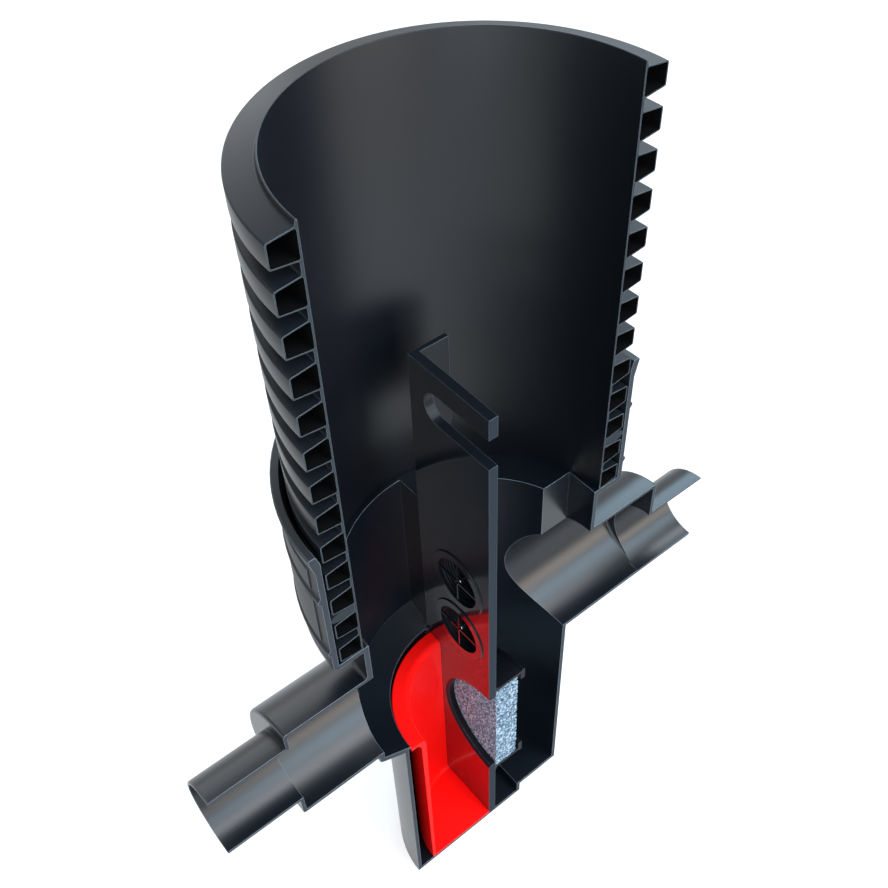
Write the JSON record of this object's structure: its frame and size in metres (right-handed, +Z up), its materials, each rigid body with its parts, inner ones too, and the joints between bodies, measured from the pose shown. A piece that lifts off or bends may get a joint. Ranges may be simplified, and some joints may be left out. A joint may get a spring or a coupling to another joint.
{
  "type": "sectioned silt trap",
  "caption": "Cut-away silt trap for a rainwater drain: ribbed riser, chamber with stepped spigots, lift-out partition with overflow valves, foam filter and silt bucket.",
  "frame": {"origin": "on the underside of the sump, where the riser's axis meets it, on the plane of the cut", "axes": "+X along the pipes to the outlet, +Y from the cut into the kept half, +Z up along the riser"},
  "size_m": [0.68, 0.1933, 1.0478],
  "materials": {
    "chamber_black": "moulded, satin",
    "riser_black": "extruded, satin",
    "seal_rubber": "smooth",
    "plate_black": "polished",
    "valve_black": "moulded, glossy",
    "pin_steel": "turned",
    "foam_grey": "open-cell foam, coarse",
    "bucket_red": "moulded, semi-gloss"
  },
  "bodies": {
    "chamber": {"chamber": "chamber_black", "riser_pipe": "riser_black", "riser_seal": "seal_rubber"},
    "insert": {"partition_plate": "plate_black", "silt_bucket": "bucket_red", "filter_housing": "valve_black", "filter_foam": "foam_grey", "valve_cage_lower": "valve_black", "valve_cage_upper": "valve_black", "valve_pin_lower": "pin_steel", "valve_pin_upper": "pin_steel"},
    "disc_lower": {"valve_disc_lower": "valve_black"},
    "disc_upper": {"valve_disc_upper": "valve_black"}
  },
  "joints": [
    {"name": "insert_lift", "type": "slide", "parent": "chamber", "child": "insert", "axis": [0, 0, 1], "range_m": [0, 0.62]},
    {"name": "lower_valve_travel", "type": "slide", "parent": "insert", "child": "disc_lower", "axis": [1, 0, 0], "range_m": [0, 0.0059]},
    {"name": "upper_valve_travel", "type": "slide", "parent": "insert", "child": "disc_upper", "axis": [1, 0, 0], "range_m": [0, 0.0059]}
  ]
}
